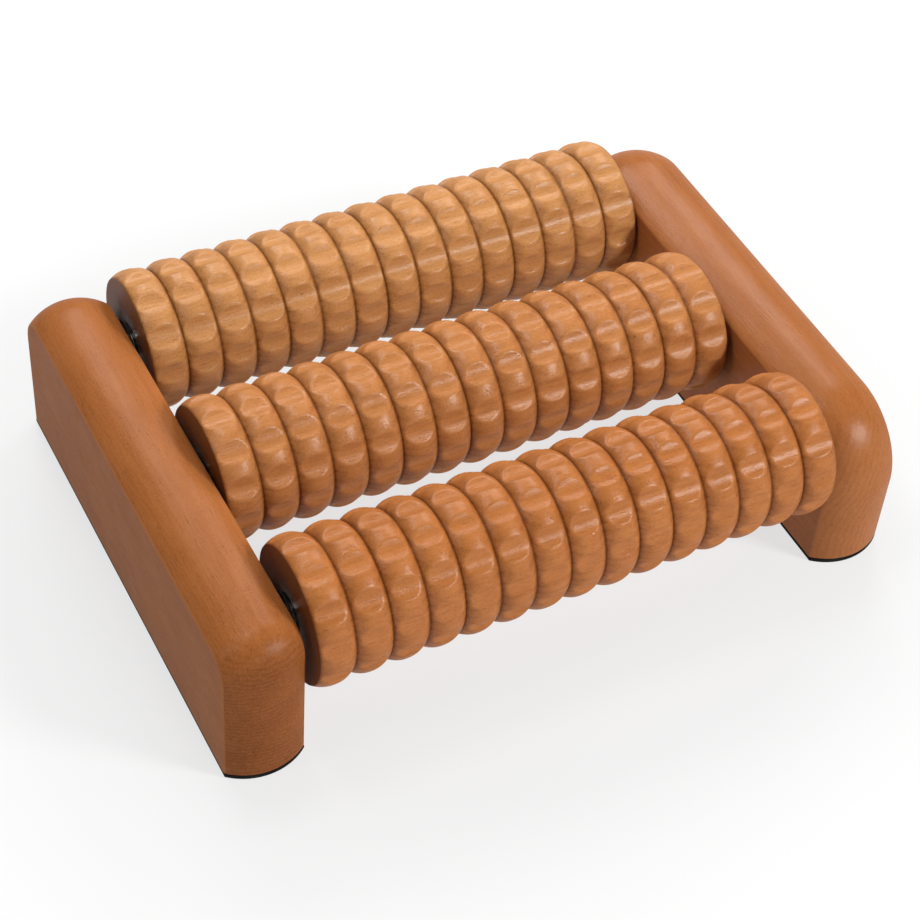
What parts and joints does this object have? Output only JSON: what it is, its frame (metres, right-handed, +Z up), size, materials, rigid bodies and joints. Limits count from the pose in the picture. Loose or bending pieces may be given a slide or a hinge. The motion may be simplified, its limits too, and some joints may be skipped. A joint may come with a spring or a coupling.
{
  "type": "foot massage roller",
  "caption": "Low wooden foot massager: beaded, fluted rollers spin on steel rods between crowned side rails that stand on thin anti-slip strips.",
  "frame": {"origin": "on the floor under the middle of the object, in the plane that the grip strips rest on", "axes": "+X along the rollers towards the right rail, +Y along the rails from the front roller to the rear roller, +Z up"},
  "size_m": [0.217, 0.1605, 0.0603],
  "materials": {
    "rail_wood": "satin lacquer, reddish brown",
    "roller_wood": "satin lacquer, golden brown",
    "grip_rubber": "matt black",
    "rod_steel": "bright drawn",
    "washer_nylon": "black nylon",
    "bush_nylon": "black nylon"
  },
  "bodies": {
    "frame": {"left_rail": "rail_wood", "left_grip_strip": "grip_rubber", "right_rail": "rail_wood", "right_grip_strip": "grip_rubber", "front_axle": "rod_steel", "front_left_washer": "washer_nylon", "front_right_washer": "washer_nylon", "middle_axle": "rod_steel", "middle_left_washer": "washer_nylon", "middle_right_washer": "washer_nylon", "rear_axle": "rod_steel", "rear_left_washer": "washer_nylon", "rear_right_washer": "washer_nylon"},
    "front_roller_body": {"front_roller": "roller_wood", "front_left_bush": "bush_nylon", "front_right_bush": "bush_nylon"},
    "middle_roller_body": {"middle_roller": "roller_wood", "middle_left_bush": "bush_nylon", "middle_right_bush": "bush_nylon"},
    "rear_roller_body": {"rear_roller": "roller_wood", "rear_left_bush": "bush_nylon", "rear_right_bush": "bush_nylon"}
  },
  "joints": [
    {"name": "front_roller_spin", "type": "hinge", "parent": "frame", "child": "front_roller_body", "pos_m": [0, -0.0584, 0.0384], "axis": [1, 0, 0], "continuous": true},
    {"name": "middle_roller_spin", "type": "hinge", "parent": "frame", "child": "middle_roller_body", "pos_m": [0, 0, 0.0384], "axis": [1, 0, 0], "continuous": true},
    {"name": "rear_roller_spin", "type": "hinge", "parent": "frame", "child": "rear_roller_body", "pos_m": [0, 0.0584, 0.0384], "axis": [1, 0, 0], "continuous": true}
  ]
}
